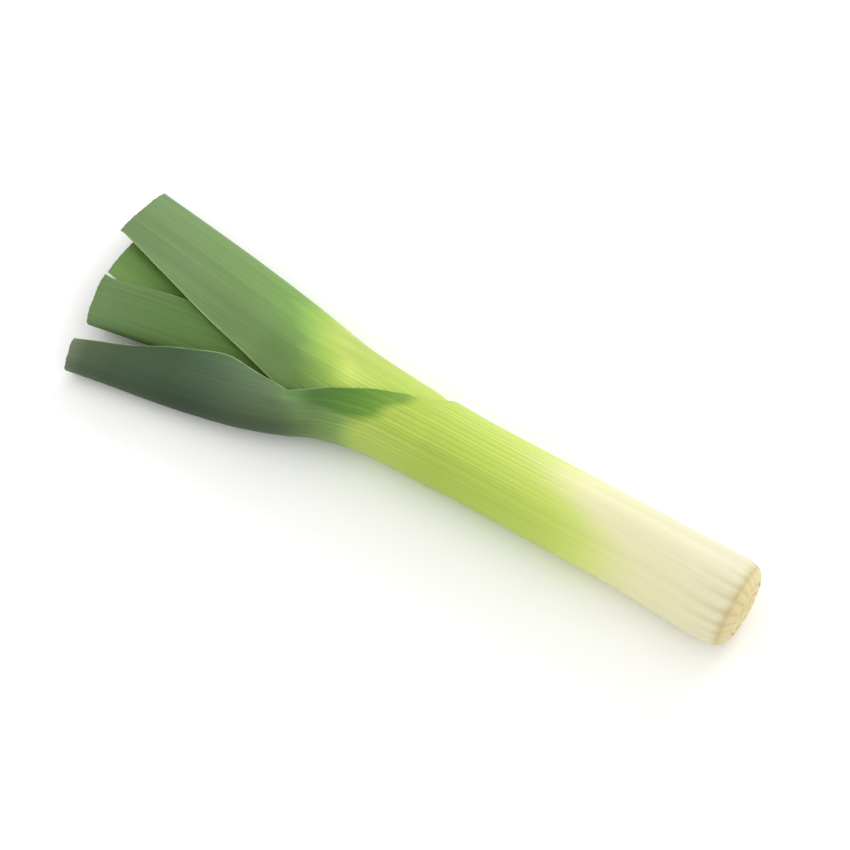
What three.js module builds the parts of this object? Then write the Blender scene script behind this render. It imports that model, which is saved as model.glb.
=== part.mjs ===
// A trimmed leek lying on its side, in millimetres.
// +X points to the cut root end, +Y and -Y to the two sides of the leaf fan, +Z up.
// The origin is the middle of the footprint, on the surface the leek rests on.
//
// A leek is a bundle of folded leaves. The lower part of each leaf is a closed
// sheath round the ones inside it, which together make the pale shank. Above its
// mouth the sheath splits and each leaf goes on as a V-folded blade. The folds
// (keels) lie alternately to one side and the other, which makes the flat fan.

import * as THREE from 'three';

// Driving dimensions, in millimetres and degrees

const AXIS_HEIGHT = 20.6;   // middle of the shank above the table
const SHANK_RADIUS = 21.3;  // outside of the outermost sheath
const SHEATH_WALL = 2.1;    // thickness of every sheath
const SHEATH_STEP = 2.6;    // from one sheath's outside to the next one's
const INNER_START = 8.4;    // where the inner sheaths stand on the root plate
const SPLIT_TO_BLADE = 60;  // length over which a wall thins from sheath to blade
const MARGIN_WALL = 0.9;    // thickness of a blade at its margins
const FRONT_WRAP = 160;     // angle from the outer leaf's keel to its split
const INNER_WRAP = 170;     // the same for the inner leaves
const PUCKER_DEPTH = 0.45;  // grooves round the root end
const PUCKER_LENGTH = 26;
const ROOT_GAP = 0.35;      // clearance round the root plate
const ROOT_SHIFT = -0.6;    // the root plate's middle in y, where the outer sheath bends

// Radii of the nested sheaths, from the outside in

const RADIUS_2 = SHANK_RADIUS - SHEATH_STEP;
const RADIUS_3 = SHANK_RADIUS - 2 * SHEATH_STEP;
const RADIUS_4 = SHANK_RADIUS - 3 * SHEATH_STEP;

// Leaf tables
// A leaf is given by its cross-sections at stations measured from the root end.
// Each section is two arcs of ellipses that start side by side at the keel: one
// runs over the top to the front margin, the other under to the back margin.
// A section is [station, keel y, keel z, front half width, front half height,
// front wrap, back half width, back half height, back wrap]. A half width is the
// ellipse's semi-axis across the fan, a half height its semi-axis upwards, and a
// wrap the angle that the arc turns through from keel to margin.

// A closed round sheath: both arcs share one circle and meet at the split.
function sheath(station, radius, wrap, side, shift = 0, width = radius) {
  const keelY = shift - side * width;
  return [station, keelY, AXIS_HEIGHT, width, radius, wrap, width, radius, 360 - wrap];
}

// side is +1 for a keel towards -Y and -1 for a keel towards +Y.
// trim gives how far the knife's cut lies beyond the last row: [front margin,
// keel, back margin].

const LEAVES = [
  {
    name: 'leaf_1',
    side: 1,
    columns: 36,
    mouth: 171,
    keelWall: 1.7,
    colour: '#8fae63',
    trim: [0.5, -0.6, 0.0],
    rows: [
      0, 1, 2.5, 5, 9, 14, 20, 28, 45, 70, 95, 120, 145, 160, 171, 173, 175, 178, 182, 187,
      192, 198, 205, 212, 220, 228, 236, 243, 247, 251, 258, 267, 275, 285, 296, 308, 321,
      335, 349, 362,
    ],
    sections: [
      sheath(0, 15.8, FRONT_WRAP, 1, ROOT_SHIFT),
      sheath(1, 17.7, FRONT_WRAP, 1, -0.7),
      sheath(2.5, 19.5, FRONT_WRAP, 1, -0.8, 19.9),
      sheath(5, 21.0, FRONT_WRAP, 1, -1.0, 21.8),
      sheath(10, 21.8, FRONT_WRAP, 1, -1.2, 22.9),
      sheath(17, 21.9, FRONT_WRAP, 1, -1.2, 23.0),
      sheath(29, 21.8, FRONT_WRAP, 1, -1.0, 22.5),
      sheath(65, 21.4, FRONT_WRAP, 1, -0.1),
      sheath(95, SHANK_RADIUS, FRONT_WRAP, 1),
      sheath(150, SHANK_RADIUS, FRONT_WRAP, 1),
      sheath(171, 22.0, FRONT_WRAP, 1),
      [174, -22.1, 20.6, 22.1, 22.1, 146, 22.2, 21.9, 160],
      [177, -22.2, 20.6, 22.2, 22.2, 129, 22.2, 21.7, 144],
      [183, -22.3, 20.6, 22.3, 22.2, 114, 22.4, 21.4, 134],
      [197, -22.6, 20.4, 22.5, 21.9, 100, 22.5, 20.7, 132],
      [228, -27.6, 17.5, 28.8, 25.0, 66, 25.2, 17.0, 100],
      [243, -33.6, 14.6, 30.1, 26.7, 58.6, 28.4, 13.9, 91],
      [247, -35.0, 14.0, 29.6, 27.0, 57, 29.0, 13.6, 90],
      [251, -36.5, 13.4, 32.8, 26.7, 58, 29.6, 13.1, 89],
      [267, -41.4, 11.5, 40.1, 25.0, 63, 32.2, 11.2, 85],
      [285, -45.3, 10.0, 46.0, 24.3, 66, 31.0, 9.6, 85],
      [306, -49.2, 9.0, 48.4, 25.2, 60, 29.8, 8.6, 85],
      [345, -55.0, 7.8, 37.7, 21.0, 52, 27.4, 7.5, 85],
      [363, -58.0, 7.2, 31.2, 17.5, 52, 26.3, 7.3, 85],
    ],
  },
  {
    name: 'leaf_2',
    side: -1,
    columns: 28,
    mouth: 195,
    keelWall: 1.7,
    colour: '#86a86c',
    trim: [3.2, 0.0, 0.0],
    rows: [
      INNER_START, 60, 110, 160, 171, 177, 183, 189, 195, 200, 206, 213, 221, 229, 237,
      245, 254, 263, 273, 286, 301, 318, 337, 357, 377,
    ],
    sections: [
      sheath(INNER_START, RADIUS_2, INNER_WRAP, -1),
      sheath(160, RADIUS_2, INNER_WRAP, -1),
      sheath(171, 19.0, INNER_WRAP, -1),
      [177, 20.1, 20.8, 19.5, 18.6, 170, 19.5, 18.0, 190],
      [184, 22.1, 21.0, 20.5, 18.5, 170, 20.5, 17.6, 190],
      [195, 23.0, 20.8, 20.8, 18.5, 170, 20.8, 17.1, 190],
      [228, 27.6, 19.3, 23.8, 16.8, 140, 23.3, 16.4, 140],
      [245, 31.9, 18.1, 30.7, 14.8, 125, 30.2, 14.8, 120],
      [262, 36.3, 17.0, 47.7, 13.0, 97, 45.4, 13.2, 95],
      [307, 45.1, 15.5, 58.2, 10.0, 80, 54.5, 13.0, 80],
      [378, 56.1, 14.0, 48.7, 9.0, 75, 40.6, 14.5, 78],
    ],
  },
  {
    name: 'leaf_3',
    side: 1,
    columns: 24,
    mouth: 211,
    keelWall: 1.6,
    colour: '#7b9e58',
    trim: [6.5, -0.8, 0.0],
    rows: [
      INNER_START, 60, 110, 150, 183, 197, 211, 216, 222, 229, 236, 244, 253, 264, 278,
      294, 311, 330, 348, 366,
    ],
    sections: [
      sheath(INNER_START, RADIUS_3, INNER_WRAP, 1),
      sheath(160, RADIUS_3, INNER_WRAP, 1),
      [176, -16.0, 20.6, 16.0, 15.8, 170, 16.0, 14.9, 190],
      [184, -16.0, 20.6, 16.0, 15.4, 170, 16.0, 14.1, 190],
      [195, -16.0, 20.6, 16.0, 15.0, 170, 16.0, 13.7, 190],
      [211, -15.8, 20.2, 15.8, 14.7, 170, 15.8, 13.5, 190],
      [220, -15.8, 19.7, 16.8, 13.8, 160, 16.8, 13.0, 170],
      [231, -15.8, 19.2, 18.1, 13.0, 150, 18.1, 12.5, 150],
      [262, -19.0, 17.3, 26.1, 8.4, 110, 26.1, 9.8, 110],
      [324, -25.0, 14.0, 31.2, 8.5, 85, 30.7, 8.4, 85],
      [367, -31.5, 12.0, 33.5, 8.0, 78, 32.2, 7.4, 78],
    ],
  },
  {
    name: 'leaf_4',
    side: -1,
    columns: 24,
    mouth: 215,
    keelWall: 1.5,
    colour: '#5d8a35',
    trim: [-1.0, 0.0, 0.0],
    solidTo: 207, // the innermost leaf is filled with its packed heart up to here
    rows: [
      INNER_START, 60, 110, 150, 183, 199, 215, 221, 228, 236, 245, 255, 267, 285, 307,
      330, 353, 374,
    ],
    sections: [
      sheath(INNER_START, RADIUS_4, INNER_WRAP, -1),
      sheath(160, RADIUS_4, INNER_WRAP, -1),
      [176, 13.4, 20.6, 13.4, 13.0, 170, 13.4, 12.1, 190],
      [184, 13.4, 20.6, 13.4, 12.4, 170, 13.4, 11.3, 190],
      [195, 13.3, 20.4, 13.3, 11.8, 170, 13.3, 10.8, 190],
      [215, 13.2, 19.9, 13.1, 10.8, 170, 13.1, 10.8, 190],
      [237, 15.6, 18.7, 13.8, 7.6, 145, 13.8, 7.6, 145],
      [262, 20.0, 17.0, 22.0, 4.4, 110, 22.0, 5.2, 110],
      [324, 30.0, 15.0, 42.5, 3.6, 88, 38.3, 4.0, 78],
      [374, 37.5, 14.6, 48.0, 3.4, 80, 43.0, 3.8, 64],
    ],
  },
];

// Value of one column of a table at a station: a smooth cubic between the rows
// that never overshoots them (harmonic mean of the slopes on each side).
function along(table, column, station) {
  const n = table.length;
  const slope = (i) =>
    (table[i + 1][column] - table[i][column]) / (table[i + 1][0] - table[i][0]);
  const tangent = (i) => {
    if (i === 0) return 0;
    if (i === n - 1) return slope(n - 2);
    const before = slope(i - 1);
    const after = slope(i);
    if (before * after <= 0) return 0;
    const gapBefore = table[i][0] - table[i - 1][0];
    const gapAfter = table[i + 1][0] - table[i][0];
    const w1 = 2 * gapAfter + gapBefore;
    const w2 = gapAfter + 2 * gapBefore;
    return (w1 + w2) / (w1 / before + w2 / after);
  };
  const s = THREE.MathUtils.clamp(station, table[0][0], table[n - 1][0]);
  let i = 0;
  while (i < n - 2 && s >= table[i + 1][0]) i += 1;
  const h = table[i + 1][0] - table[i][0];
  const t = (s - table[i][0]) / h;
  const t2 = t * t;
  const t3 = t2 * t;
  return (
    table[i][column] * (2 * t3 - 3 * t2 + 1) +
    h * tangent(i) * (t3 - 2 * t2 + t) +
    table[i + 1][column] * (3 * t2 - 2 * t3) +
    h * tangent(i + 1) * (t3 - t2)
  );
}

// Depth of the grooves that gather the outer sheath to the root plate. They lie
// on every other column and fade out along the shank.
function pucker(leaf, station, column) {
  if (leaf.name !== 'leaf_1' || station > PUCKER_LENGTH) return 0;
  const fade = 1 - station / PUCKER_LENGTH;
  return column % 2 === 0 ? 0 : PUCKER_DEPTH * fade * Math.min(1, station / 4);
}

// Where the knife's cut lies past the last row, at share v of the section.
function trimAt(leaf, v) {
  const [front, keel, back] = leaf.trim;
  const slant = v >= 0 ? keel + (front - keel) * v : keel + (back - keel) * -v;
  const ragged = 0.25 * Math.sin(7 * v + 1.3) + 0.15 * Math.sin(17 * v);
  return slant + ragged;
}

// Point of a leaf at a row and a column, on its outer face or its inner face.
// Column 0 is the back margin, the middle one the keel, the last the front margin.
function leafPoint(leaf, row, column, inner) {
  const v = (2 * column) / leaf.columns - 1;
  const front = v >= 0;
  const length = leaf.rows[leaf.rows.length - 1];
  const last = THREE.MathUtils.smoothstep(leaf.rows[row], length - 45, length);
  const station = leaf.rows[row] + last * trimAt(leaf, v);

  const table = leaf.sections;
  const keelY = along(table, 1, station);
  const keelZ = along(table, 2, station);
  const halfWidth = along(table, front ? 3 : 6, station);
  const halfHeight = along(table, front ? 4 : 7, station);
  const wrap = THREE.MathUtils.degToRad(along(table, front ? 5 : 8, station));

  const split = THREE.MathUtils.smoothstep(station, leaf.mouth, leaf.mouth + SPLIT_TO_BLADE);
  const bladeWall = leaf.keelWall + (MARGIN_WALL - leaf.keelWall) * Math.abs(v);
  const wall = SHEATH_WALL + (bladeWall - SHEATH_WALL) * split;
  const depth = inner ? wall : pucker(leaf, leaf.rows[row], column);

  const angle = Math.abs(v) * wrap;
  const y = keelY + leaf.side * (depth + (halfWidth - depth) * (1 - Math.cos(angle)));
  const z = keelZ + (front ? 1 : -1) * (halfHeight - depth) * Math.sin(angle);
  return [-station, y, inner ? z : Math.max(z, 0)];
}

// One leaf as a closed body: outer face, inner face, and the rims that join them
// at the root end, along both margins above the mouth, and at the knife's cut.
function leafGeometry(leaf) {
  const { rows, columns } = leaf;
  const mouthRow = rows.indexOf(leaf.mouth);
  const points = [];
  const faces = [];

  const addPoint = (p) => points.push(...p) / 3 - 1;
  const quad = (a, b, c, d) => faces.push(a, b, c, a, c, d);

  // Up to the mouth the two margins are one line, so they share their points.
  const addGrid = (firstRow, inner) => {
    const grid = [];
    for (let i = firstRow; i < rows.length; i += 1) {
      const line = [];
      for (let j = 0; j <= columns; j += 1) {
        const closed = j === columns && i <= mouthRow;
        line.push(closed ? line[0] : addPoint(leafPoint(leaf, i, j, inner)));
      }
      grid.push(line);
    }
    return grid;
  };

  const firstInner = leaf.solidTo ? mouthRow : 0;
  const outer = addGrid(0, false);
  const inner = addGrid(firstInner, true);
  const lastRow = rows.length - 1;

  for (let i = 0; i < lastRow; i += 1) {
    for (let j = 0; j < columns; j += 1) {
      quad(outer[i][j], outer[i + 1][j], outer[i + 1][j + 1], outer[i][j + 1]);
    }
  }
  for (let i = 0; i < lastRow - firstInner; i += 1) {
    for (let j = 0; j < columns; j += 1) {
      quad(inner[i][j + 1], inner[i + 1][j + 1], inner[i + 1][j], inner[i][j]);
    }
  }

  const cut = lastRow - firstInner;
  for (let j = 0; j < columns; j += 1) {
    quad(outer[lastRow][j], inner[cut][j], inner[cut][j + 1], outer[lastRow][j + 1]);
  }

  for (let i = mouthRow; i < lastRow; i += 1) {
    const k = i - firstInner;
    quad(outer[i][0], inner[k][0], inner[k + 1][0], outer[i + 1][0]);
    quad(outer[i + 1][columns], inner[k + 1][columns], inner[k][columns], outer[i][columns]);
  }

  if (leaf.solidTo) {
    const base = addPoint([-rows[0], 0, AXIS_HEIGHT]);
    const hollow = addPoint([-leaf.solidTo, 0, AXIS_HEIGHT - 0.6]);
    for (let j = 0; j < columns; j += 1) {
      faces.push(base, outer[0][j], outer[0][j + 1]);
      faces.push(hollow, inner[0][j + 1], inner[0][j]);
    }
  } else {
    for (let j = 0; j < columns; j += 1) {
      quad(outer[0][j + 1], inner[0][j + 1], inner[0][j], outer[0][j]);
    }
  }
  return closedGeometry(points, faces);
}

// Indexed geometry with its faces pointing out, whichever way the leaf is folded.
function closedGeometry(points, faces) {
  const corner = (i) => new THREE.Vector3().fromArray(points, 3 * i);
  let volume = 0;
  for (let i = 0; i < faces.length; i += 3) {
    const [a, b, c] = faces.slice(i, i + 3).map(corner);
    volume += a.dot(b.cross(c));
  }
  const index = volume < 0 ? faces.slice().reverse() : faces;
  const geometry = new THREE.BufferGeometry();
  geometry.setAttribute('position', new THREE.Float32BufferAttribute(points, 3));
  geometry.setIndex(index);
  geometry.computeVertexNormals();
  return geometry;
}

// The root plate: the disc of stem left by the cut, domed a little, that fills the
// end of the outer sheath. Its profile turns round the shank's axis.
function rootPlateGeometry() {
  const table = LEAVES[0].sections;
  const sheathInside = (s) => along(table, 4, s) - SHEATH_WALL - ROOT_GAP;
  const profile = [
    new THREE.Vector2(0, -1.5),
    new THREE.Vector2(6, -1.3),
    new THREE.Vector2(10.5, -0.7),
    new THREE.Vector2(sheathInside(0) - 0.4, 0.1),
    new THREE.Vector2(sheathInside(1) - 0.2, 1.2),
    new THREE.Vector2(sheathInside(3) - 0.2, 3.2),
    new THREE.Vector2(sheathInside(5) - 0.4, 5.4),
    new THREE.Vector2(RADIUS_2 - 0.4, INNER_START - ROOT_GAP),
    new THREE.Vector2(0, INNER_START - ROOT_GAP),
  ];
  const geometry = new THREE.LatheGeometry(profile, 36);
  geometry.rotateZ(Math.PI / 2);
  geometry.translate(0, ROOT_SHIFT, AXIS_HEIGHT);
  return geometry;
}

function material(colour, roughness) {
  return new THREE.MeshStandardMaterial({ color: colour, roughness, metalness: 0 });
}

// Assembly, moved so that the footprint's middle is the origin

const leek = new THREE.Group();
leek.name = 'leek';

const rootPlate = new THREE.Mesh(rootPlateGeometry(), material('#dccb94', 0.7));
rootPlate.name = 'root_plate';
leek.add(rootPlate);

for (const leaf of LEAVES) {
  const mesh = new THREE.Mesh(leafGeometry(leaf), material(leaf.colour, 0.5));
  mesh.name = leaf.name;
  leek.add(mesh);
}

const box = new THREE.Box3().setFromObject(leek, true);
const middle = box.getCenter(new THREE.Vector3());
for (const mesh of leek.children) {
  mesh.position.set(-middle.x, -middle.y, -box.min.z);
}

export default leek;
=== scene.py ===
# %% [markdown]
# # A trimmed leek on a table
#
# A leek is one short disc of stem with long folded leaves growing out of it. Low down,
# every leaf is a closed sheath round the younger ones, and the nest of sheaths is the
# pale shank. Above its mouth a sheath splits and runs on as a blade folded like a V.
# This lesson makes each leaf as one surface worked out from a short table of
# cross-sections, gives it a thickness, and then paints it with shader nodes that
# follow its fibres.

# %% Load the fixed frame
import bpy
import numpy as np
from mathutils import Matrix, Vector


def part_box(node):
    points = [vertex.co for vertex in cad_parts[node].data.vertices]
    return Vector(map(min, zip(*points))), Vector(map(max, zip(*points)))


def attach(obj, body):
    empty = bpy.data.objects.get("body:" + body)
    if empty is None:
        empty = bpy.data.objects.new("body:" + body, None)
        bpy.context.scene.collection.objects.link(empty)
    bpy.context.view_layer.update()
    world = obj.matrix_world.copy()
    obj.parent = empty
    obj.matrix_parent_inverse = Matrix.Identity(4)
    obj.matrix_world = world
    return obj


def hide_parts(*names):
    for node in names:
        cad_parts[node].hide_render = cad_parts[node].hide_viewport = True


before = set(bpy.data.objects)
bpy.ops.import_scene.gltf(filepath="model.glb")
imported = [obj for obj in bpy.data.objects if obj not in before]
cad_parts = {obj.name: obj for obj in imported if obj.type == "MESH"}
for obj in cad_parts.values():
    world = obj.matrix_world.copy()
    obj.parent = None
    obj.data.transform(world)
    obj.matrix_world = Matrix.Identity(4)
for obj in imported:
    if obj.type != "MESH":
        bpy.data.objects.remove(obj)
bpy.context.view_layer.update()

print("pieces in the frame:", sorted(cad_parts))

# %% [markdown]
# ## Where the leek lies
#
# The tables below measure along the leek from its cut root end, because that is how a
# grower would: 0 at the root plate, 171 mm where the outer sheath splits. The frame
# has its origin under the middle of the leek instead, so every point is moved by one
# offset, found from the root plate's box. Working in millimetres keeps the numbers
# readable, and the move turns them into the metres that Blender uses.

# %% Millimetres along the leek to metres in the frame
AXIS_HEIGHT = 20.6      # the shank's axis above the table
DOME = 1.5              # how far the root plate's middle stands out past station 0
PLATE_SHIFT = -0.6      # y of the plate's middle from the axis; the camera's side is negative

plate_low, plate_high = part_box("root_plate")
OFFSET = np.array([
    plate_high.x * 1000 - DOME,
    (plate_low.y + plate_high.y) * 500 - PLATE_SHIFT,
    0.0,
])


def to_frame(points):
    """Leek millimetres to frame metres: add the offset, then divide by a thousand."""
    return (np.asarray(points, float) + OFFSET) / 1000


print("root end at x = %.1f mm, shank's axis at y = %.2f mm" % (OFFSET[0], OFFSET[1]))

# %% [markdown]
# ## The camera
#
# The cut disc looks like an ellipse about a quarter as wide as it is tall, and the
# shank falls at 28 degrees across the picture. A leek that lies flat gives both when
# it is seen from 60 degrees up and 32 degrees round from square on. The distance
# follows from the lens and from how many pixels a millimetre takes. The camera slides
# sideways until the root end falls on its place, which needs no lens shift.

# %% Camera
PICTURE = 850
AZIMUTH, ELEVATION = np.radians(31.8), np.radians(60.0)
LENS, SENSOR = 100.0, 36.0
PIXELS_PER_MM = 2.095
# a point in the middle of the root end, and where the picture has it
ANCHOR_POINT, ANCHOR_PIXEL = np.array([0.0, 0.0, 21.0]), (746.3, 608.0)

cam_right = np.array([np.cos(AZIMUTH), np.sin(AZIMUTH), 0.0])
cam_back = np.array([
    np.sin(AZIMUTH) * np.cos(ELEVATION),
    -np.cos(AZIMUTH) * np.cos(ELEVATION),
    np.sin(ELEVATION),
])
cam_up = np.cross(cam_back, cam_right)
focal = PICTURE * LENS / SENSOR
distance = focal / PIXELS_PER_MM
aside = (ANCHOR_PIXEL[0] - PICTURE / 2) / focal * distance
above = (PICTURE / 2 - ANCHOR_PIXEL[1]) / focal * distance
cam_place = ANCHOR_POINT + cam_back * distance - cam_right * aside - cam_up * above

camera_data = bpy.data.cameras.new("camera")
camera_data.lens = LENS
camera_data.sensor_width = SENSOR
camera_data.clip_end = 20
camera = bpy.data.objects.new("camera", camera_data)
camera.matrix_world = Matrix([
    [cam_right[k], cam_up[k], cam_back[k], to_frame(cam_place)[k]] for k in range(3)
] + [[0, 0, 0, 1]])
bpy.context.collection.objects.link(camera)
bpy.context.scene.camera = camera
print("camera is %.0f mm from the root end" % distance)

# %% [markdown]
# ## Helpers for materials
#
# Colours are easiest to choose as the hex codes of a paint chart, but a shader adds
# and multiplies light, so it needs them linear. One function does that. Another adds
# a node with its settings and links in one call, which keeps a material readable:
# every line is one node.

# %% Colour and node helpers
def linear(hex_code):
    """sRGB to linear: x / 12.92 up to 0.04045, else ((x + 0.055) / 1.055) ** 2.4."""
    s = np.array([int(hex_code[i:i + 2], 16) for i in (1, 3, 5)]) / 255
    rgb = np.where(s <= 0.04045, s / 12.92, ((s + 0.055) / 1.055) ** 2.4)
    return (*rgb, 1.0)


def add(tree, kind, links=None, values=None, **settings):
    """One node of the type ShaderNode + kind: settings are its properties, values its
    inputs, links its wires. A wire starts at a socket, or at a node's first output."""
    node = tree.nodes.new("ShaderNode" + kind)
    for key, value in settings.items():
        setattr(node, key, value)
    for key, value in (values or {}).items():
        node.inputs[key].default_value = value
    for key, source in (links or {}).items():
        socket = source.outputs[0] if isinstance(source, bpy.types.Node) else source
        tree.links.new(socket, node.inputs[key])
    return node


def fill_ramp(node, stops, length=1.0):
    """Colour stops from pairs of place and hex code; a place is divided by the length.
    A new ramp has two stops, and these are used first."""
    band = node.color_ramp
    for i, (place, hex_code) in enumerate(stops):
        element = band.elements[i] if i < 2 else band.elements.new(place / length)
        element.position = place / length
        element.color = linear(hex_code)
    return node


def new_material(name):
    """An empty node tree with a Principled shader wired to the output."""
    material = bpy.data.materials.new(name)
    material.use_nodes = True
    tree = material.node_tree
    tree.nodes.clear()
    shader = add(tree, "BsdfPrincipled")
    add(tree, "OutputMaterial", {"Surface": shader})
    return material, tree, shader


print("cream in linear light:", [round(c, 3) for c in linear("#F6F1D6")])

# %% [markdown]
# ## The table
#
# The leek lies on a plain white sweep. It could be a true curved backdrop, but from
# 60 degrees up the camera sees only the floor, so one large flat sheet is enough. Its
# paper finish is matt, with a grain far too fine to see, so a little unevenness in
# roughness stands for it. The sheet lies a hair below the leek, because two faces in
# the very same place would flicker.

# %% White sweep
SWEEP_HALF = 3.0
SWEEP_DROP = 0.0002


def flat_sheet(name, half, height):
    """Four corners of a square of the given half width at one height, in metres."""
    mesh = bpy.data.meshes.new(name)
    corners = [(-half, -half, height), (half, -half, height), (half, half, height),
               (-half, half, height)]
    mesh.from_pydata(corners, [], [(0, 1, 2, 3)])
    sheet = bpy.data.objects.new(name, mesh)
    bpy.context.collection.objects.link(sheet)
    return sheet


sweep = flat_sheet("white_sweep", SWEEP_HALF, -SWEEP_DROP)
paper, tree, shader = new_material("matt_white_paper")
place = add(tree, "TexCoord").outputs["Object"]
grain = add(tree, "TexNoise", {"Vector": place}, {"Scale": 40.0, "Detail": 3.0})
rough = add(tree, "MapRange", {"Value": grain},
            {"To Min": 0.85, "To Max": 0.95})
tree.links.new(rough.outputs[0], shader.inputs["Roughness"])
shader.inputs["Base Color"].default_value = linear("#F7F7F5")
sweep.data.materials.append(paper)
print("sweep is", round(sweep.dimensions.x, 1), "m across")

# %% [markdown]
# ## Light
#
# The picture is high-key: the table is pure white, and the shadows on it are faint. So
# most of the light is an even white world, bright enough to keep the paper white even
# where a lamp is shaded. The far shoulder of the shank is a little brighter than its top
# and near side, which one low soft box behind it does. A weak one on the camera's side
# gives the leaves some sheen. The Standard view transform shows light as it is, where
# the default one would grey the paper and the greens to save highlights.

# %% Soft boxes and world
WORLD_STRENGTH = 1.10


def soft_box(name, place, target, size, watts):
    """An area light at a place in metres, turned so that it faces the target."""
    data = bpy.data.lights.new(name, "AREA")
    data.shape = "SQUARE"
    data.size = size
    data.energy = watts
    box = bpy.data.objects.new(name, data)
    z = np.array(place, float) - np.array(target, float)
    z /= np.linalg.norm(z)
    x = np.cross([0.0, 1.0, 0.2], z)
    x /= np.linalg.norm(x)
    y = np.cross(z, x)
    rows = [[x[k], y[k], z[k], place[k]] for k in range(3)]
    box.matrix_world = Matrix(rows + [[0, 0, 0, 1]])
    bpy.context.collection.objects.link(box)
    return box


key_box = soft_box("key_box", (0.15, 1.55, 0.80), (0.0, 0.0, 0.0), 0.7, 9.5)
fill_box = soft_box("fill_box", (-0.7, -0.9, 1.4), (0.0, 0.0, 0.0), 1.2, 1.5)

world = bpy.data.worlds.new("bright_studio")
world.use_nodes = True
world.node_tree.nodes["Background"].inputs["Color"].default_value = (1.0, 1.0, 1.0, 1.0)
world.node_tree.nodes["Background"].inputs["Strength"].default_value = WORLD_STRENGTH
bpy.context.scene.world = world
bpy.context.scene.view_settings.view_transform = "Standard"
print("lights:", key_box.name, fill_box.name)

# %% [markdown]
# ## The leaf tables
#
# A folded leaf can be modelled by pushing vertices about, but then a change to its
# curve means pushing them all again. A table is easier to correct: each row is one
# cross-section at a station along the leek. A section is two arcs of ellipses that
# leave the keel side by side. One goes over the top to the front margin, the other
# underneath to the back margin. For the closed sheath both arcs are one circle.

# %% Cross-sections of the four leaves, in millimetres and degrees
SHANK_RADIUS = 21.3
SHEATH_WALL = 2.1
SHEATH_STEP = 2.6       # from one sheath's outer face to the next one's
INNER_START = 8.4       # the inner sheaths start behind the root plate
FRONT_WRAP, INNER_WRAP = 160, 170       # from keel to seam in front, in degrees


def sheath(station, radius, wrap, side, shift=0.0, width=None):
    """A row for a closed sheath: keel at shift - side * width, and both arcs one circle,
    or one ellipse where it has a half width of its own."""
    width = radius if width is None else width
    return [station, shift - side * width, AXIS_HEIGHT, width, radius, wrap,
            width, radius, 360 - wrap]


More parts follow.
